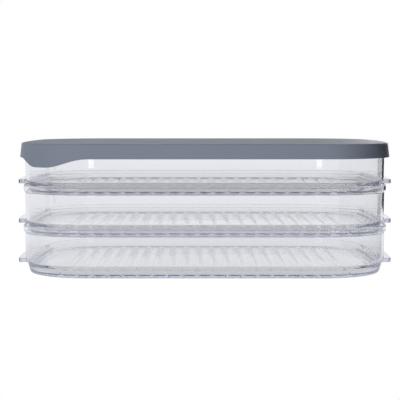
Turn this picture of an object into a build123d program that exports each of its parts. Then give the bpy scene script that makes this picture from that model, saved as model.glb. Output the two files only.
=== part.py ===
"""Three-tier stacking storage box: three identical clear trays with ribbed floors, and a push-on lid.

Millimetres, +Z up, the long sides along X, the front towards -Y.
The origin is at the middle of the footprint, on the surface that the box stands on.
"""
import os
from itertools import pairwise
from math import atan2, cos, degrees, radians, sin, sqrt, tan

from build123d import *

# ---- plan of a tray, at the outer face of its wall ----
tray_length = 243.4        # between the middles of the two bowed ends
tray_depth = 162.6         # between the two straight long sides
corner_radius = 44.0
end_bow_radius = 400.0     # the short ends bow gently outwards

# ---- section of a tray, heights from its own underside ----
tray_height = 31.25
wall = 1.8
floor_thickness = 1.8
foot_height = 7.5          # up to the shoulder, where the wall begins
shoulder_step = 0.7        # the foot's top edge lies this far inside the wall
foot_taper = 2.4           # and its underside this much further in
foot_bevel = 0.8           # along the edge of the underside
cove_radius = 10.0         # inside, between the floor and the foot, made as two flats
rim_height = 4.9           # the whole rim, its flare included
rim_flare_height = 1.3
rim_reach = 1.25           # how far the rim stands out from the wall
rim_wall = 2.0
rim_bevel = 0.5

# ---- floor corrugations, which run from front to back ----
rib_count = 20
rib_pitch = 9.6
rib_width = 6.2            # at its root
rib_height = 0.8
groove_width = 4.6         # the hollow under each rib, which keeps the wall even
groove_height = 0.7
groove_inset = 0.3         # from the foot's lower edge in to the ends of the hollows
flank_angle = 50.0         # degrees, of the sides of ribs and hollows

# ---- grip plates on the two ends ----
grip_width = 70.0
grip_reach = 5.3           # how far a grip stands out from the wall
grip_thickness = 2.8
grip_corner = 2.5

# ---- lid, heights from the rim that it rests on ----
lid_panel = 1.2
lid_skirt = 8.3
lid_skirt_wall = 0.9
lid_gap = 0.3              # clearance all round the rim
lid_flare = 1.05           # how far the skirt leans out, from its top to its lower edge
lid_bevel = 0.7

# ---- thumb lip: the skirt runs lower round the front left corner ----
lip_drop = 5.6
lip_turn = 38.0            # degrees round the corner, from the front, where the lip is deepest
lip_level = 9.0            # width of its level stretch
lip_front_run = 24.0       # length of its slope towards the front
lip_end_run = 18.0         # length of its slope towards the end

# ---- worked out from the sizes above ----
foot_grow = -shoulder_step - foot_taper
rim_base = tray_height - rim_height
rim_inner_grow = rim_reach - rim_wall
nest_depth = foot_height - grip_thickness      # how far a foot sinks into the rim below
tier_pitch = tray_height - nest_depth          # grips rest on the rim of the tray below
lid_inner_grow = rim_reach + lid_gap
lid_grow = lid_inner_grow + lid_skirt_wall
lid_slope = lid_flare / (lid_panel + lid_skirt)
edge_grow = lid_grow + lid_flare               # at the skirt's lower edge
lip_edge_grow = edge_grow + lid_slope * lip_drop


def plan(grow, height=0):
    """The tray's outline at a height, moved outwards everywhere by grow."""
    with BuildSketch(Plane.XY.offset(height), mode=Mode.PRIVATE) as outline:
        Rectangle(tray_length + 2 * grow, tray_depth + 2 * grow)
        for end in (-1, 1):
            with Locations((end * (end_bow_radius - tray_length / 2), 0)):
                Circle(end_bow_radius + grow, mode=Mode.INTERSECT)
        fillet(outline.vertices(), corner_radius + grow)
    return outline.sketch


def stack(section, mode=Mode.ADD):
    """A solid whose outline passes through each (height, grow) pair of a section."""
    for ends in pairwise(section):
        (narrow_end, narrow_grow), (wide_end, wide_grow) = sorted(ends, key=lambda end: end[1])
        rise = abs(narrow_end - wide_end)
        draft = degrees(atan2(wide_grow - narrow_grow, rise))
        layer = extrude(plan(wide_grow, wide_end), amount=rise, taper=draft, mode=Mode.PRIVATE)
        if narrow_end < wide_end:
            layer = mirror(layer, about=Plane.XY.offset(wide_end), mode=Mode.PRIVATE)
        add(layer, mode=mode)


def foot_outer_grow(height):
    """Outer face of the tapered foot."""
    return foot_grow + foot_taper * height / foot_height


def foot_inner_grow(height):
    """Inner face of the foot, a wall's thickness inside the outer one."""
    return foot_outer_grow(height) - wall


def cove_points():
    """(height, grow) where the cove between floor and foot begins, turns and ends."""
    turn = 90 - degrees(atan2(foot_taper, foot_height))
    start = foot_inner_grow(floor_thickness) - cove_radius * tan(radians(turn / 2))
    angles = [radians(turn * share) for share in (0, 0.5, 1)]
    return [
        (floor_thickness + cove_radius * (1 - cos(angle)), start + cove_radius * sin(angle))
        for angle in angles
    ]


def corrugation(width, height, base, end_grow):
    """Bars along Y with sloping sides, side by side, cut off along an outline."""
    with BuildPart() as bars:
        with BuildSketch(Plane.XZ):
            with Locations((0, base)):
                with GridLocations(rib_pitch, 0, rib_count, 1):
                    Trapezoid(width, height, flank_angle, align=(Align.CENTER, Align.MIN))
        extrude(amount=tray_depth / 2, both=True)
        extrude(plan(end_grow), amount=foot_height, both=True, mode=Mode.INTERSECT)
    return bars.part


# ---- one tray ----
with BuildPart() as cavity:
    stack([
        *cove_points(),
        (foot_height + wall, -wall),
        (rim_base, -wall),
        (rim_base + rim_flare_height, rim_inner_grow),
        (tray_height, rim_inner_grow),
    ])

with BuildPart() as tray:
    stack([
        (0, foot_grow - foot_bevel),
        (foot_bevel, foot_outer_grow(foot_bevel)),
        (foot_height, -shoulder_step),
    ])
    stack([
        (foot_height, 0),
        (rim_base, 0),
        (rim_base + rim_flare_height, rim_reach),
        (tray_height - rim_bevel, rim_reach),
        (tray_height, rim_reach - rim_bevel),
    ])

    # grip plates: one band across the tray, which the inside space then cuts in two
    with BuildSketch(Plane.XY.offset(foot_height)) as grips:
        add(plan(grip_reach))
        Rectangle(2 * tray_length, grip_width, mode=Mode.INTERSECT)
        across = grips.vertices().group_by(Axis.Y)
        fillet(across[0] + across[-1], grip_corner)
    extrude(amount=-grip_thickness)
    add(cavity.part, mode=Mode.SUBTRACT)

    # the ribs run on into the cove, and the hollows under them out to the foot's edge
    add(corrugation(rib_width, rib_height, floor_thickness, foot_inner_grow(floor_thickness)))
    add(corrugation(groove_width, groove_height, 0, foot_grow - groove_inset), mode=Mode.SUBTRACT)

# ---- lid ----
corner_y = corner_radius - tray_depth / 2
corner_x = end_bow_radius - tray_length / 2 - sqrt((end_bow_radius - corner_radius) ** 2 - corner_y**2)
lip_out = (-sin(radians(lip_turn)), -cos(radians(lip_turn)))
lip_plane = Plane(
    origin=(corner_x, corner_y, -lid_skirt),
    x_dir=(-lip_out[1], lip_out[0], 0),
    z_dir=(*lip_out, 0),
)
with BuildPart() as below_skirt:      # all that lies under the skirt's edge, except the thumb lip
    with Locations((0, 0, -lid_skirt)):
        Box(2 * tray_length, 2 * tray_depth, 2 * lip_drop, align=(Align.CENTER, Align.CENTER, Align.MAX))
    with BuildSketch(lip_plane):
        with BuildLine():
            level = Line((-lip_level / 2, -lip_drop), (lip_level / 2, -lip_drop))
            front = Spline(level @ 1, (lip_level / 2 + lip_front_run, 0), tangents=((1, 0), (1, 0)))
            back = Spline(level @ 0, (-lip_level / 2 - lip_end_run, 0), tangents=((-1, 0), (-1, 0)))
            Line(front @ 1, back @ 1)
        make_face()
    extrude(amount=2 * corner_radius, mode=Mode.SUBTRACT)

with BuildPart() as lid:
    stack([
        (-lid_skirt - lip_drop, lip_edge_grow),
        (lid_panel - lid_bevel, lid_grow + lid_slope * lid_bevel),
        (lid_panel, lid_grow + lid_slope * lid_bevel - lid_bevel),
    ])
    stack([
        (-lid_skirt - lip_drop, lip_edge_grow - lid_skirt_wall),
        (0, lid_inner_grow),
    ], mode=Mode.SUBTRACT)
    add(below_skirt.part, mode=Mode.SUBTRACT)

# ---- the stack, each grip on the rim of the tray below, and the lid on the top rim ----
os.makedirs("parts", exist_ok=True)
for tier, name in enumerate(("tray_bottom", "tray_middle", "tray_top")):
    with BuildPart() as placed_tray:
        with Locations((0, 0, tier * tier_pitch)):
            add(tray.part)
    placed_tray.part.label = name
    export_step(placed_tray.part, f"parts/{name}.step")

with BuildPart() as placed_lid:
    with Locations((0, 0, 2 * tier_pitch + tray_height)):
        add(lid.part)
placed_lid.part.label = "lid"
export_step(placed_lid.part, "parts/lid.step")
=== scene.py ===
"""Three-tier storage box: clear trays with corrugated floors and a grey push-on lid, in a white studio.

Sizes are in millimetres until a mesh is made, which is in metres. The front faces -Y.
"""
from math import asin, ceil, cos, degrees, pi, radians, sin, sqrt, tan

import bmesh
import bpy
from mathutils import Matrix, Vector


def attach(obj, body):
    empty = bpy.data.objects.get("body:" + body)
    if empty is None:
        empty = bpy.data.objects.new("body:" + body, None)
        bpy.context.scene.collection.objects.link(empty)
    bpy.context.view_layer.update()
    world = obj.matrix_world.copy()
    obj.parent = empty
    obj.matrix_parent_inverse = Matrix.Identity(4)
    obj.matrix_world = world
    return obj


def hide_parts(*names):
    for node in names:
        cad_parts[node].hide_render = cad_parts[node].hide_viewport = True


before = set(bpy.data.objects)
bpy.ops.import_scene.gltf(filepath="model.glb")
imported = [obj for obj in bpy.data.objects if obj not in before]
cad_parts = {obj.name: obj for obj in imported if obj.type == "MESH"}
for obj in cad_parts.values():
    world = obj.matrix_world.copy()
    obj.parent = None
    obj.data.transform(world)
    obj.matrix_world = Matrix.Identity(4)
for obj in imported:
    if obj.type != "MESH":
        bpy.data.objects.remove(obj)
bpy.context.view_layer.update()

scene = bpy.context.scene
MM = 0.001

# ---- plan of a tray, at half the height of its wall ----
TRAY_LENGTH = 243.4         # between the middles of the two bowed ends
TRAY_DEPTH = 162.6
CORNER_RADIUS = 44.0
END_BOW_RADIUS = 400.0

# ---- section of a tray, heights from its own underside ----
TRAY_HEIGHT = 31.25
WALL = 1.8
WALL_LEAN = 0.2             # the wall's upper edge is this far out of its middle, and its lower edge in
FLOOR = 1.8
FOOT_HEIGHT = 7.5           # up to the shoulder, where the wall begins
SHOULDER_STEP = 0.7
FOOT_TAPER = 2.4
INNER_SHOULDER = 7.8        # where the wall begins inside
INNER_SLOPE = 56.0          # degrees, from there down to the floor
RIM_HEIGHT = 4.9
RIM_FLARE = 1.3
RIM_REACH = 1.25
RIM_WALL = 2.0

# ---- radii of a tray's edges ----
COVE = 10.0                 # between its floor and the inner slope
INNER_SHOULDER_ROUND = 0.6
FLARE_LOW_ROUND = 1.0
FLARE_HIGH_ROUND = 0.8
RIM_INNER_ROUND = 0.6
RIM_OUTER_ROUND = 0.9
SHOULDER_ROUND = 0.22
ROOT_ROUND = 0.2            # where the foot meets the shoulder or a grip
FOOT_ROUND = 0.9

# ---- corrugated floor ----
RIB_COUNT = 20
RIB_PITCH = 9.6
RIB_WIDTH = 6.2
RIB_HEIGHT = 0.6
HOLLOW_WIDTH = 4.6          # the hollow under each rib
HOLLOW_HEIGHT = 0.65
HOLLOW_START = -4.2         # offset where the hollows begin, just behind the foot's rounded edge
HOLLOW_RUN_OUT = 1.6
COLUMNS_PER_RIB = 12        # mesh columns from one rib to the next

# ---- grips ----
GRIP_WIDTH = 70.0
GRIP_REACH = 5.3
GRIP_THICKNESS = 2.8
GRIP_CORNER = 2.5
GRIP_ROUND = 0.5

# ---- lid, heights from the rim that it rests on ----
LID_PANEL = 1.2
LID_SKIRT = 8.3
LID_SKIRT_WALL = 0.9
LID_GAP = 0.3
LID_FLARE = 1.05
LID_TOP_ROUND = 0.9
LID_EDGE_ROUND = 0.3        # both sides of the skirt's lower edge
LID_INNER_ROUND = 0.6
LIP_DROP = 5.6
LIP_TURN = 38.0             # degrees round the front left corner, from the front
LIP_LEVEL = 9.0
LIP_FRONT_RUN = 24.0
LIP_END_RUN = 18.0

# ---- mesh fineness ----
ARC_STEP = 24.0             # degrees from facet to facet round a small edge
COVE_STEP = 5.0             # and round the cove
SUPPORT = 0.12              # mm of flat kept beside a rounded edge, so that the rest shades flat
CORNER_STEP = 3.0           # degrees round a corner of the plan
GRIP_ARC_STEP = 15          # degrees round a grip's corner
SIDE_STEP = 4.0             # mm along an end where nothing needs more
LID_SIDE_STEP = 2.0
RUN_OUT_STEPS = 6           # rings over which the hollows end
SPARE_COLUMNS = 12          # beyond the last rib, as the columns draw together round the corners
MERGE = 0.001               # mm, closer than which points are one
CREASE = 40.0               # degrees, above which an edge shades as a crease

# ---- finishes ----
STYRENE_FILM = "#fcfcfc"    # at each surface
STYRENE_DEPTH = "#c4cde6"   # and through the depth of the plastic
STYRENE_DENSITY = 6.5       # per metre
STYRENE_IOR = 1.57
STYRENE_ROUGHNESS = (0.0, 0.008)
FLOW_WAVES = 50.0           # mm from wave to wave
FLOW_DEPTH = 0.3            # mm
FLOW_SHARE = 0.1            # of that depth
HAZE = 9.0                  # mm across a patch
LID_TONES = ("#757d8a", "#7a828e")
LID_IOR = 1.51
LID_SPECULAR = 0.2
LID_ROUGHNESS = (0.44, 0.54)
LID_PATCHES = 22.0          # mm across a patch of tone and of gloss
LID_GRAIN = 0.5             # mm
LID_GRAIN_DEPTH = 0.03      # mm
LID_GRAIN_SHARE = 0.25      # of that depth
NOISE_REACH = (0.3, 0.7)    # which most of a noise lies between
WHITE = "#ffffff"
BLACK = "#000000"

# ---- studio, in metres ----
FLOOR_SIZE = 40.0
FLOOR_BELOW = 0.05 * MM     # so that the floor doesn't flicker through the trays' undersides
FLOOR_COLOUR = "#ecedf2"
FLOOR_SHADED = "#c9cad0"    # under the box
SHADE_MIDDLE_Y = -0.07
SHADE_STRETCH = 2.0         # how much longer the shade is along the box than across it
SHADE_REACH = (0.02, 0.24)  # where the shade begins to thin out, and where it ends
SHADE_FRONT = (-0.080, -0.088)  # it ends sooner in front of the box, between these
STUDIO_COLOUR = "#fbfbfe"
STUDIO_LIGHT = 0.9
STUDIO_LOBES = (            # (middle, edge and core as cosines, gain)
    ((-0.5, -0.7, 0.6), 0.4, 0.95, 1.3),      # the main light, from the front left
    ((0, 0, 1), 0.3, 0.9, 0.4),               # less from straight above
    ((-1, -0.1, 0), 0.4, 0.9, 0.85),          # and from the left
)
STRIP_XS = (-0.63, 0.575)
STRIP_PLACE = (-1.18, 0.5)
STRIP_SIZE = (0.28, 1.6)
STRIP_RADIANCE = 2.3
RIM_LIGHT_PLACE = (0.55, 1.3, 0.3)
RIM_LIGHT_SIZE = (0.5, 0.4)
RIM_LIGHT_RADIANCE = 4.0
SIDE_CARD = ((0.17, -0.22), (0.17, 0.01), 0.25)   # its two ends on the floor, and its height
BACK_CARD = ((0.215, 0.35), (0.40, 0.35), 0.075)
LENS = 99.9                 # mm, on a sensor 36 mm wide
SHIFT = (-0.0119, -0.1679)
CAMERA_PITCH = 1.0          # degrees down
CAMERA_PLACE = (0.0, -0.7817, 0.1049)
LIGHT_BOUNCES = 64          # light runs a long way inside the clear walls

TIER_PITCH = TRAY_HEIGHT - (FOOT_HEIGHT - GRIP_THICKNESS)
LID_HEIGHT = 2 * TIER_PITCH + TRAY_HEIGHT
FAR_IN = -20.0              # any place well inside a tray, which a level line runs to

corner_y = TRAY_DEPTH / 2 - CORNER_RADIUS
bow_x = TRAY_LENGTH / 2 - END_BOW_RADIUS
corner_x = bow_x + sqrt((END_BOW_RADIUS - CORNER_RADIUS) ** 2 - corner_y**2)
bow_turn = asin(corner_y / (END_BOW_RADIUS - CORNER_RADIUS))
bow_half = bow_turn * END_BOW_RADIUS


# ================================================================ plan

def even_steps(start, stop, step):
    """Places from start to stop, both included, about a step apart."""
    count = max(1, round(abs(stop - start) / step))
    return [start + (stop - start) * index / count for index in range(count + 1)]


def grip_edge(along):
    """A grip's reach, and how far its edges are rounded back, at a distance from the end's middle."""
    from_end = GRIP_WIDTH / 2 - along
    into_corner = max(0.0, GRIP_CORNER - from_end)
    into_round = max(0.0, GRIP_ROUND - from_end)
    reach = GRIP_REACH - GRIP_CORNER + sqrt(GRIP_CORNER**2 - into_corner**2)
    return reach, GRIP_ROUND - sqrt(GRIP_ROUND**2 - into_round**2)


def quarter_plan(front_xs, corner_out):
    """Stations (x, y, out_x, out_y, grip) from the middle of the front to the middle of the right end.

    front_xs are columns to pass through, and corner_out is the offset where they do so round the corner.
    """
    stations = [(x, -TRAY_DEPTH / 2, 0.0, -1.0, None) for x in front_xs if x < corner_x]
    turns = [0.0] + [asin((x - corner_x) / (CORNER_RADIUS + corner_out)) for x in front_xs if x > corner_x]
    turns += even_steps(turns[-1], pi / 2 - bow_turn, radians(CORNER_STEP))[1:]
    for turn in turns:
        out_x, out_y = sin(turn), -cos(turn)
        x, y = corner_x + CORNER_RADIUS * out_x, -corner_y + CORNER_RADIUS * out_y
        stations.append((x, y, out_x, out_y, None))

    grip_end = GRIP_WIDTH / 2
    rounding = [radians(angle) for angle in range(0, 91, GRIP_ARC_STEP)]
    alongs = {grip_end - GRIP_CORNER * (1 - cos(angle)) for angle in rounding}
    alongs |= {grip_end - GRIP_ROUND * (1 - cos(angle)) for angle in rounding}
    alongs |= set(even_steps(0.0, grip_end - GRIP_CORNER, SIDE_STEP))
    places = [(along, None) for along in even_steps(bow_half, grip_end, SIDE_STEP)[1:]]
    places += [(along, grip_edge(along)) for along in sorted(alongs, reverse=True)]
    for along, grip in places:
        turn = along / END_BOW_RADIUS
        out_x, out_y = cos(turn), -sin(turn)
        stations.append((bow_x + END_BOW_RADIUS * out_x, END_BOW_RADIUS * out_y, out_x, out_y, grip))
    return stations


def whole_plan(front_xs, corner_out=0.0):
    """The stations all round, anticlockwise. Station i mirrors station -i across the middle of the front."""
    quarter = quarter_plan(front_xs, corner_out)
    right = quarter + [(x, -y, out_x, -out_y, grip) for x, y, out_x, out_y, grip in reversed(quarter[:-1])]
    left = [(-x, y, -out_x, out_y, grip) for x, y, out_x, out_y, grip in reversed(right[1:-1])]
    return right + left


# ================================================================ sections

def rounded(corners):
    """The points round each (out, height, radius) corner but the two ends, which only give a way."""
    turns = []
    for before, corner, after in zip(corners, corners[1:], corners[2:]):
        here, radius = Vector(corner[:2]), corner[2]
        back = (Vector(before[:2]) - here).normalized()
        ahead = (Vector(after[:2]) - here).normalized()
        half = back.angle(ahead) / 2
        run = radius / tan(half)
        centre = here + (back + ahead).normalized() * radius / sin(half)
        first = (here + back * run - centre).normalized()
        last = (here + ahead * run - centre).normalized()
        steps = ceil((180 - degrees(2 * half)) / (COVE_STEP if radius == COVE else ARC_STEP))
        arc = [centre + first.slerp(last, step / steps) * radius for step in range(steps + 1)]
        turns.append([here + back * (run + SUPPORT), *arc, here + ahead * (run + SUPPORT)])
    return turns


def wall_out(height):
    """Outer face of the leaning wall."""
    rim_base = TRAY_HEIGHT - RIM_HEIGHT
    middle = (FOOT_HEIGHT + rim_base) / 2
    return WALL_LEAN * (height - middle) / (rim_base - middle)


def foot_out(height):
    """Outer face of the tapered foot."""
    return wall_out(FOOT_HEIGHT) - SHOULDER_STEP - FOOT_TAPER * (1 - height / FOOT_HEIGHT)


def tray_profile(grip):
    """A tray's section from its floor over the rim to its foot, at a grip or beside one.

    The points round the foot's lower edge come apart from the others, because hollows cut into it.
    """
    rim_base = TRAY_HEIGHT - RIM_HEIGHT
    flare_top = rim_base + RIM_FLARE
    grip_low = FOOT_HEIGHT - GRIP_THICKNESS
    slope_run = (INNER_SHOULDER - FLOOR) / tan(radians(INNER_SLOPE))
    wall_and_rim = [
        (FAR_IN, FLOOR, 0),
        (wall_out(INNER_SHOULDER) - WALL - slope_run, FLOOR, COVE),
        (wall_out(INNER_SHOULDER) - WALL, INNER_SHOULDER, INNER_SHOULDER_ROUND),
        (wall_out(rim_base) - WALL, rim_base, FLARE_LOW_ROUND),
        (RIM_REACH - RIM_WALL, flare_top, FLARE_HIGH_ROUND),
        (RIM_REACH - RIM_WALL, TRAY_HEIGHT, RIM_INNER_ROUND),
        (RIM_REACH, TRAY_HEIGHT, RIM_OUTER_ROUND),
        (RIM_REACH, flare_top, FLARE_HIGH_ROUND),
        (wall_out(rim_base), rim_base, FLARE_LOW_ROUND),
        (wall_out(FOOT_HEIGHT), FOOT_HEIGHT, SHOULDER_ROUND),
    ]
    underside = [(foot_out(0), 0, FOOT_ROUND), (FAR_IN, 0, 0)]
    reach, back = grip or grip_edge(GRIP_WIDTH / 2)
    plate = [
        (reach - back, FOOT_HEIGHT - back, GRIP_ROUND),
        (reach - back, grip_low + back, GRIP_ROUND),
        (foot_out(grip_low + back), grip_low + back, ROOT_ROUND),
    ]
    *upper, low_edge = rounded([*wall_and_rim, *plate, *underside])
    if not grip:
        foot_top = (foot_out(FOOT_HEIGHT), FOOT_HEIGHT, ROOT_ROUND)
        *shoulder, low_edge = rounded([*wall_and_rim, foot_top, *underside])
        spare = sum(map(len, upper)) - sum(map(len, shoulder))
        start, stop = shoulder[-1][-1], upper[-1][-1]
        upper = [*shoulder, [start.lerp(stop, (step + 1) / spare) for step in range(spare)]]
    return [point for corner in upper for point in corner], low_edge


def blunt(share):
    """How high a rib with a rounded end stands at a share of its run-out, as a share of its full height."""
    return sqrt(1 - (1 - min(1.0, max(0.0, share))) ** 2)


def tray_section(grip):
    """Rings (out, height, rib, hollow) from the edge of the floor over the rim to the underside.

    rib and hollow say how much of the floor's corrugation a ring takes.
    """
    upper, low_edge = tray_profile(grip)
    foot_edge, hollow_end = low_edge[-1][0], HOLLOW_START - HOLLOW_RUN_OUT
    rings = [(out, height, float(height < FLOOR + RIB_HEIGHT), 0.0) for out, height in upper]
    under = [
        (foot_edge + (hollow_end - foot_edge) * step / RUN_OUT_STEPS, 0.0)
        for step in range(1, RUN_OUT_STEPS + 1)
    ]
    for out, height in (*low_edge, *under):
        rings.append((out, height, 0.0, blunt((HOLLOW_START - out) / HOLLOW_RUN_OUT)))
    return rings


# ================================================================ meshes

def closed_shell(name, stations, sections, last_column):
    """A closed mesh with one section at each station, whose level faces are cut into strips up to a column.

    Every section has the same number of rings, from the upper level face round to the lower one.
    """
    around, rings = len(stations), len(sections[0])
    half = around // 2                                    # the station at the middle of the back
    points = []
    for (x, y, out_x, out_y, _), section in zip(stations, sections):
        for out, height, *_ in section:
            points.append((x + out * out_x, y + out * out_y, height))
    faces = []
    for station in range(around):
        here, after = station * rings, (station + 1) % around * rings
        for ring in range(rings - 1):
            faces.append((here + ring, here + ring + 1, after + ring + 1, after + ring))

    strips = [(column, column + 1, half - column - 1, half - column) for column in range(last_column)]
    strips.append(tuple(range(last_column, half - last_column + 1)))
    for strip in strips:
        mirrored = [(-station) % around for station in reversed(strip)]
        for outline in (strip, mirrored):
            faces.append([station * rings for station in outline])
            faces.append([station * rings + rings - 1 for station in reversed(outline)])

    mesh = bpy.data.meshes.new(name)
    mesh.from_pydata([[MM * value for value in point] for point in points], [], faces)
    return mesh


def smooth(mesh):
    """Merges doubled points, turns every face outwards and shades smooth but for creases."""
    form = bmesh.new()
    form.from_mesh(mesh)
    bmesh.ops.remove_doubles(form, verts=form.verts, dist=MERGE * MM)
    bmesh.ops.recalc_face_normals(form, faces=form.faces)
    form.to_mesh(mesh)
    form.free()
    mesh.shade_smooth()
    mesh.set_sharp_from_angle(angle=radians(CREASE))


def tray_mesh():
    """One tray at the origin with a plain floor, and the shares of rib and hollow on its points."""
    column = RIB_PITCH / COLUMNS_PER_RIB
    columns = [column * index for index in range(RIB_COUNT * COLUMNS_PER_RIB // 2 + SPARE_COLUMNS + 1)]
    stations = whole_plan(columns, HOLLOW_START)
    plain = tray_section(None)
    sections = [tray_section(grip) if grip else plain for *_, grip in stations]
    mesh = closed_shell("tray", stations, sections, len(columns) - 1)
    for place, share in enumerate(("rib_share", "hollow_share"), start=2):
        values = [ring[place] for section in sections for ring in section]
        mesh.attributes.new(share, "FLOAT", "POINT").data.foreach_set("value", values)
    return mesh


def lid_section(drop):
    """Rings of the lid where the skirt runs lower by a drop, from its top round to the panel's underside."""
    inner = RIM_REACH + LID_GAP
    outer = inner + LID_SKIRT_WALL
    lean = LID_FLARE / (LID_PANEL + LID_SKIRT)
    low = -LID_SKIRT - drop
    low_out = outer + LID_FLARE + lean * drop
    corners = rounded([
        (FAR_IN, LID_PANEL, 0),
        (outer, LID_PANEL, LID_TOP_ROUND),
        (low_out, low, LID_EDGE_ROUND),
        (low_out - LID_SKIRT_WALL, low, LID_EDGE_ROUND),
        (inner, 0, LID_INNER_ROUND),
        (FAR_IN, 0, 0),
    ])
    return [tuple(point) for corner in corners for point in corner]


def lip_drop(x, y):
    """How much lower than elsewhere the skirt's edge lies at a place, along the thumb lip."""
    turn = radians(LIP_TURN)
    towards_front = (x + corner_x) * cos(turn) - (y + corner_y) * sin(turn)
    run = LIP_FRONT_RUN if towards_front > 0 else LIP_END_RUN
    share = 1 - min(1.0, max(0.0, abs(towards_front) - LIP_LEVEL / 2) / run)
    on_lip = x < 0 and y < 0
    return LIP_DROP * share**2 * (3 - 2 * share) if on_lip else 0.0


def lid_mesh():
    """The lid at the origin, with the rim that it rests on at height 0."""
    stations = whole_plan(even_steps(0.0, corner_x, LID_SIDE_STEP))
    sections = [lid_section(lip_drop(x, y)) for x, y, *_ in stations]
    return closed_shell("lid", stations, sections, 1)


# ================================================================ node trees

def add_node(tree, kind, inputs=(), **settings):
    """Adds a node with its settings. inputs is {name or number: a value, or a socket to link from}."""
    node = tree.nodes.new(kind)
    for setting, value in settings.items():
        setattr(node, setting, value)
    for place, value in dict(inputs).items():
        if isinstance(value, bpy.types.NodeSocket):
            tree.links.new(value, node.inputs[place])
        else:
            node.inputs[place].default_value = value
    return node


def corrugation_tree(material):
    """Geometry Nodes that raise ribs on a floor and hollows under them, where its points take a share."""
    tree = bpy.data.node_groups.new("floor_corrugation", "GeometryNodeTree")
    sizes = {
        "Rib count": RIB_COUNT,
        "Rib pitch": RIB_PITCH * MM,
        "Rib width": RIB_WIDTH * MM,
        "Rib height": RIB_HEIGHT * MM,
        "Floor": FLOOR * MM,
        "Hollow width": HOLLOW_WIDTH * MM,
        "Hollow height": HOLLOW_HEIGHT * MM,
    }
    tree.interface.new_socket("Geometry", in_out="INPUT", socket_type="NodeSocketGeometry")
    for size in sizes:
        tree.interface.new_socket(size, in_out="INPUT", socket_type="NodeSocketFloat")
    tree.interface.new_socket("Material", in_out="INPUT", socket_type="NodeSocketMaterial")
    tree.interface.new_socket("Geometry", in_out="OUTPUT", socket_type="NodeSocketGeometry")
    given = add_node(tree, "NodeGroupInput").outputs
    pitch = given["Rib pitch"]

    # x across the ribs, and its distance from the middle of the nearest rib
    place = add_node(tree, "GeometryNodeInputPosition").outputs["Position"]
    x = add_node(tree, "ShaderNodeSeparateXYZ", {0: place}).outputs["X"]
    count = given["Rib count"]
    length = add_node(tree, "ShaderNodeMath", {0: count, 1: pitch}, operation="MULTIPLY").outputs[0]
    half_length = add_node(tree, "ShaderNodeMath", {0: length, 1: 0.5}, operation="MULTIPLY").outputs[0]
    from_end = add_node(tree, "ShaderNodeMath", {0: x, 1: half_length}, operation="ADD").outputs[0]
    ribs = add_node(tree, "ShaderNodeMath", {0: from_end, 1: pitch}, operation="DIVIDE").outputs[0]
    share = add_node(tree, "ShaderNodeMath", {0: ribs}, operation="FRACT").outputs[0]
    aside = add_node(tree, "ShaderNodeMath", {0: share, 1: -0.5}, operation="ADD").outputs[0]
    away = add_node(tree, "ShaderNodeMath", {0: aside}, operation="ABSOLUTE").outputs[0]
    distance = add_node(tree, "ShaderNodeMath", {0: away, 1: pitch}, operation="MULTIPLY").outputs[0]
    side = add_node(tree, "ShaderNodeMath", {0: x}, operation="ABSOLUTE").outputs[0]
    inside = add_node(tree, "ShaderNodeMath", {0: side, 1: half_length}, operation="LESS_THAN").outputs[0]

    # cosine humps: a rib lifts only what lies lower than it, so it runs into the cove, and a hollow fades out
    z = add_node(tree, "ShaderNodeSeparateXYZ", {0: place}).outputs["Z"]
    geometry = given["Geometry"]
    for form, attribute in (("Rib", "rib_share"), ("Hollow", "hollow_share")):
        width, height = given[f"{form} width"], given[f"{form} height"]
        part = add_node(tree, "ShaderNodeMath", {0: distance, 1: width}, operation="DIVIDE").outputs[0]
        within = add_node(tree, "ShaderNodeMath", {0: part, 1: 0.5}, operation="MINIMUM").outputs[0]
        turn = add_node(tree, "ShaderNodeMath", {0: within, 1: 2 * pi}, operation="MULTIPLY").outputs[0]
        wave = add_node(tree, "ShaderNodeMath", {0: turn}, operation="COSINE").outputs[0]
        lifted = {0: wave, 1: 0.5, 2: 0.5}
        hump = add_node(tree, "ShaderNodeMath", lifted, operation="MULTIPLY_ADD").outputs[0]
        kept = add_node(tree, "ShaderNodeMath", {0: hump, 1: inside}, operation="MULTIPLY").outputs[0]
        full = add_node(tree, "ShaderNodeMath", {0: kept, 1: height}, operation="MULTIPLY").outputs[0]
        if form == "Rib":
            top = add_node(tree, "ShaderNodeMath", {0: full, 1: given["Floor"]}, operation="ADD").outputs[0]
            lack = add_node(tree, "ShaderNodeMath", {0: top, 1: z}, operation="SUBTRACT").outputs[0]
            full = add_node(tree, "ShaderNodeMath", {0: lack, 1: 0.0}, operation="MAXIMUM").outputs[0]
        named = {"Name": attribute}
        taken = add_node(tree, "GeometryNodeInputNamedAttribute", named, data_type="FLOAT").outputs[0]
        rise = add_node(tree, "ShaderNodeMath", {0: full, 1: taken}, operation="MULTIPLY").outputs[0]
        up = add_node(tree, "ShaderNodeCombineXYZ", {"Z": rise}).outputs[0]
        geometry = add_node(tree, "GeometryNodeSetPosition", {"Geometry": geometry, "Offset": up}).outputs[0]

    plain = add_node(tree, "GeometryNodeRealizeInstances", {0: geometry}).outputs[0]
    finish = {"Geometry": plain, "Material": given["Material"]}
    finished = add_node(tree, "GeometryNodeSetMaterial", finish).outputs[0]
    add_node(tree, "NodeGroupOutput", {0: finished})
    return tree, {**sizes, "Material": material}


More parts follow.
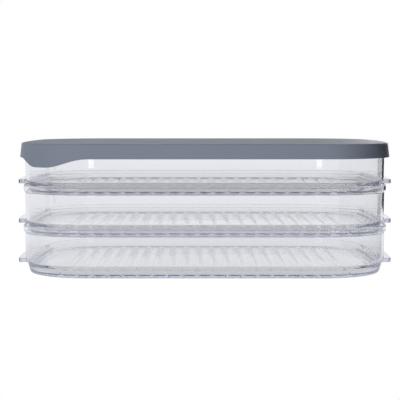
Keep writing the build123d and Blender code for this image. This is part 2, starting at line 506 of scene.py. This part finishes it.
def corrugated(mesh, material):
    """A plain mesh of a tray with its ribbed floor."""
    tree, values = corrugation_tree(material)
    raw = bpy.data.objects.new("tray_form", mesh)
    scene.collection.objects.link(raw)
    modifier = raw.modifiers.new("corrugation", "NODES")
    modifier.node_group = tree
    for socket in tree.interface.items_tree:
        if socket.in_out == "INPUT" and socket.name in values:
            modifier[socket.identifier] = values[socket.name]
    evaluated = raw.evaluated_get(bpy.context.evaluated_depsgraph_get())
    ribbed = bpy.data.meshes.new_from_object(evaluated)
    bpy.data.objects.remove(raw)
    for share in ("rib_share", "hollow_share"):
        ribbed.attributes.remove(ribbed.attributes[share])
    return ribbed


# ================================================================ materials

def linear(colour):
    """An sRGB hex colour as linear RGBA."""
    values = [int(colour[place:place + 2], 16) / 255 for place in (1, 3, 5)]
    light = [value / 12.92 if value <= 0.04045 else ((value + 0.055) / 1.055) ** 2.4 for value in values]
    return [*light, 1.0]


def new_material(name):
    """A material with a Principled shader, its node tree, the shader, and the output that it goes to."""
    material = bpy.data.materials.new(name)
    material.use_nodes = True
    tree = material.node_tree
    tree.nodes.clear()
    shader = add_node(tree, "ShaderNodeBsdfPrincipled")
    output = add_node(tree, "ShaderNodeOutputMaterial", {"Surface": shader.outputs[0]})
    return material, tree, shader, output


def clear_styrene():
    """Injection-moulded clear polystyrene: bright and glass-like, with a faint cool tint in its depth.

    The polished mould leaves it glossy, and the way the melt flowed in leaves long shallow waves, which
    bend what is seen through it a little. Handling leaves a very fine haze.
    """
    material, tree, shader, output = new_material("clear_moulded_polystyrene")
    place = add_node(tree, "ShaderNodeTexCoord").outputs["Object"]
    wide = {"Vector": place, "Scale": 1 / (FLOW_WAVES * MM), "Detail": 0.0}
    waves = add_node(tree, "ShaderNodeTexNoise", wide).outputs["Fac"]
    ripple = {"Strength": FLOW_SHARE, "Distance": FLOW_DEPTH * MM, "Height": waves}
    bump = add_node(tree, "ShaderNodeBump", ripple).outputs[0]
    patchy = {"Vector": place, "Scale": 1 / (HAZE * MM), "Detail": 4.0, "Roughness": 0.6}
    haze = add_node(tree, "ShaderNodeTexNoise", patchy).outputs["Fac"]
    spread = {0: haze, 1: NOISE_REACH[0], 2: NOISE_REACH[1], 3: STYRENE_ROUGHNESS[0], 4: STYRENE_ROUGHNESS[1]}
    rough = add_node(tree, "ShaderNodeMapRange", spread).outputs[0]
    tree.links.new(rough, shader.inputs["Roughness"])
    tree.links.new(bump, shader.inputs["Normal"])
    shader.inputs["Base Color"].default_value = linear(STYRENE_FILM)
    shader.inputs["Transmission Weight"].default_value = 1.0
    shader.inputs["IOR"].default_value = STYRENE_IOR
    tint = {"Color": linear(STYRENE_DEPTH), "Density": STYRENE_DENSITY}
    depth = add_node(tree, "ShaderNodeVolumeAbsorption", tint).outputs[0]
    tree.links.new(depth, output.inputs["Volume"])
    return material


def satin_polyethylene():
    """Injection-moulded low-density polyethylene, blue-grey: a soft satin with a spark-eroded grain.

    The real grain is about 0.1 mm, drawn here at 0.5 mm so that it shows.
    """
    material, tree, shader, _ = new_material("satin_blue_grey_polyethylene")
    place = add_node(tree, "ShaderNodeTexCoord").outputs["Object"]
    fine = {"Vector": place, "Scale": 1 / (LID_GRAIN * MM), "Detail": 2.0}
    grain = add_node(tree, "ShaderNodeTexNoise", fine).outputs["Fac"]
    relief = {"Strength": LID_GRAIN_SHARE, "Distance": LID_GRAIN_DEPTH * MM, "Height": grain}
    bump = add_node(tree, "ShaderNodeBump", relief).outputs[0]
    patchy = {"Vector": place, "Scale": 1 / (LID_PATCHES * MM), "Detail": 3.0}
    patches = add_node(tree, "ShaderNodeTexNoise", patchy).outputs["Fac"]
    spread = {0: patches, 1: NOISE_REACH[0], 2: NOISE_REACH[1], 3: LID_ROUGHNESS[0], 4: LID_ROUGHNESS[1]}
    rough = add_node(tree, "ShaderNodeMapRange", spread).outputs[0]
    tones = {0: patches, 1: linear(LID_TONES[0]), 2: linear(LID_TONES[1])}
    tone = add_node(tree, "ShaderNodeMixRGB", tones).outputs[0]
    tree.links.new(tone, shader.inputs["Base Color"])
    tree.links.new(rough, shader.inputs["Roughness"])
    tree.links.new(bump, shader.inputs["Normal"])
    shader.inputs["IOR"].default_value = LID_IOR
    shader.inputs["Specular IOR Level"].default_value = LID_SPECULAR
    return material


# ================================================================ the box

def add_piece(name, mesh, material, height):
    """A finished piece with its underside, or its seat, at a height in millimetres."""
    mesh = mesh.copy()
    mesh.name = name
    mesh.transform(Matrix.Translation((0, 0, height * MM)))
    smooth(mesh)
    mesh.materials.clear()
    mesh.materials.append(material)
    piece = bpy.data.objects.new(name, mesh)
    scene.collection.objects.link(piece)
    return piece


clear = clear_styrene()
ribbed_tray = corrugated(tray_mesh(), clear)
for tier, side in enumerate(("bottom", "middle", "top")):
    tray = add_piece(f"{side}_tray_moulding", ribbed_tray, clear, tier * TIER_PITCH)
    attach(tray, f"{side}_tray")
    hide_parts(f"tray_{side}")

lid = add_piece("lid_moulding", lid_mesh(), satin_polyethylene(), LID_HEIGHT)
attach(lid, "lid")
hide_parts("lid")


# ================================================================ studio

def stage_plane(name, corners, material):
    """A flat thing of the studio, which is no part of the box."""
    mesh = bpy.data.meshes.new(name)
    mesh.from_pydata(corners, [], [range(len(corners))])
    mesh.materials.append(material)
    plane = bpy.data.objects.new(name, mesh)
    scene.collection.objects.link(plane)
    return plane


def pale_floor():
    """A pale floor that glows by itself, shaded under the box. The camera itself sees it as plain white."""
    material, tree, shader, _ = new_material("pale_floor")
    place = add_node(tree, "ShaderNodeTexCoord").outputs["Object"]
    squeeze = {0: place, 1: (1 / SHADE_STRETCH, 1, 1)}
    squeezed = add_node(tree, "ShaderNodeVectorMath", squeeze, operation="MULTIPLY").outputs[0]
    middle = {0: squeezed, 1: (0, SHADE_MIDDLE_Y, 0)}
    far = add_node(tree, "ShaderNodeVectorMath", middle, operation="DISTANCE").outputs["Value"]
    ends = {0: far, 1: SHADE_REACH[0], 2: SHADE_REACH[1]}
    around = add_node(tree, "ShaderNodeMapRange", ends, interpolation_type="SMOOTHSTEP").outputs[0]
    y = add_node(tree, "ShaderNodeSeparateXYZ", {0: place}).outputs["Y"]
    front = add_node(tree, "ShaderNodeMapRange", {0: y, 1: SHADE_FRONT[0], 2: SHADE_FRONT[1]}).outputs[0]
    share = add_node(tree, "ShaderNodeMath", {0: around, 1: front}, operation="MAXIMUM").outputs[0]
    tones = {0: share, 1: linear(FLOOR_SHADED), 2: linear(FLOOR_COLOUR)}
    lit = add_node(tree, "ShaderNodeMixRGB", tones).outputs[0]
    seen = add_node(tree, "ShaderNodeLightPath").outputs["Is Camera Ray"]
    tone = add_node(tree, "ShaderNodeMixRGB", {0: seen, 1: lit, 2: linear(WHITE)}).outputs[0]
    tree.links.new(tone, shader.inputs["Emission Color"])
    shader.inputs["Emission Strength"].default_value = 1.0
    shader.inputs["Base Color"].default_value = linear(BLACK)
    shader.inputs["Specular IOR Level"].default_value = 0.0
    return material


def black_card():
    """Matt black card, which gives no light back."""
    material, _, shader, _ = new_material("black_card")
    shader.inputs["Base Color"].default_value = linear(BLACK)
    shader.inputs["Specular IOR Level"].default_value = 0.0
    return material


def upright_card(first, last, height):
    """A black card that stands on the floor between two places, out of the camera's sight."""
    corners = [(*first, 0), (*last, 0), (*last, height), (*first, height)]
    card = stage_plane("black_card", corners, black_card())
    card.visible_camera = False
    return card


def towards(tree, way, middle, edge, core, gain):
    """A factor that goes from 1 to a gain as a direction nears a middle one, between two cosines."""
    both = {0: way, 1: Vector(middle).normalized()}
    nearness = add_node(tree, "ShaderNodeVectorMath", both, operation="DOT_PRODUCT").outputs["Value"]
    ends = {0: nearness, 1: edge, 2: core, 3: 1.0, 4: gain}
    return add_node(tree, "ShaderNodeMapRange", ends, interpolation_type="SMOOTHSTEP").outputs[0]


def studio_world():
    """An even pale studio with soft lobes of more and less light. The camera itself sees plain white."""
    world = bpy.data.worlds.new("studio")
    world.use_nodes = True
    tree = world.node_tree
    tree.nodes.clear()
    way = add_node(tree, "ShaderNodeTexCoord").outputs["Generated"]
    level = STUDIO_LIGHT
    for lobe in STUDIO_LOBES:
        more = towards(tree, way, *lobe)
        level = add_node(tree, "ShaderNodeMath", {0: level, 1: more}, operation="MULTIPLY").outputs[0]
    seen = add_node(tree, "ShaderNodeLightPath").outputs["Is Camera Ray"]
    strength = add_node(tree, "ShaderNodeMapRange", {0: seen, 3: level, 4: 1.0}).outputs[0]
    tones = {0: seen, 1: linear(STUDIO_COLOUR), 2: linear(WHITE)}
    colour = add_node(tree, "ShaderNodeMixRGB", tones).outputs[0]
    sky = add_node(tree, "ShaderNodeBackground", {"Color": colour, "Strength": strength})
    add_node(tree, "ShaderNodeOutputWorld", {"Surface": sky.outputs[0]})
    scene.world = world


def soft_light(name, place, size, radiance):
    """A soft rectangular light that faces the upright line through the middle of the box.

    Its power follows from its size and from its radiance, which is how bright it looks.
    """
    light = bpy.data.lights.new(name, "AREA")
    light.shape = "RECTANGLE"
    light.size, light.size_y = size
    light.energy = radiance * size[0] * size[1] * pi
    lamp = bpy.data.objects.new(name, light)
    lamp.location = place
    aim = Vector((0, 0, place[2])) - Vector(place)
    lamp.rotation_euler = aim.to_track_quat("-Z", "Y").to_euler()
    lamp.visible_camera = False
    scene.collection.objects.link(lamp)
    return lamp


def studio_camera():
    """A long lens straight on, just above the lid."""
    camera = bpy.data.cameras.new("camera")
    camera.lens = LENS
    camera.shift_x, camera.shift_y = SHIFT
    view = bpy.data.objects.new("camera", camera)
    view.location = CAMERA_PLACE
    view.rotation_euler = (radians(90 - CAMERA_PITCH), 0, 0)
    scene.collection.objects.link(view)
    scene.camera = view


half = FLOOR_SIZE / 2
floor_corners = [(-half, -half, 0), (half, -half, 0), (half, half, 0), (-half, half, 0)]
floor = stage_plane("studio_floor", floor_corners, pale_floor())
floor.location.z = -FLOOR_BELOW
studio_world()

# black cards darken the right end: one beside it, in reflections only, and one behind it
beside = upright_card(*SIDE_CARD)
beside.visible_transmission = False
upright_card(*BACK_CARD)

# two tall strips in front, which glint in the round corners, and a light behind that reaches only the lid
for x in STRIP_XS:
    soft_light("strip_light", (x, *STRIP_PLACE), STRIP_SIZE, STRIP_RADIANCE)
rim_light = soft_light("rim_light", RIM_LIGHT_PLACE, RIM_LIGHT_SIZE, RIM_LIGHT_RADIANCE)
only_lid = bpy.data.collections.new("only_lid")
only_lid.objects.link(lid)
rim_light.light_linking.receiver_collection = only_lid

studio_camera()
scene.view_settings.view_transform = "Standard"
scene.cycles.max_bounces = LIGHT_BOUNCES
scene.cycles.glossy_bounces = LIGHT_BOUNCES
scene.cycles.transmission_bounces = LIGHT_BOUNCES
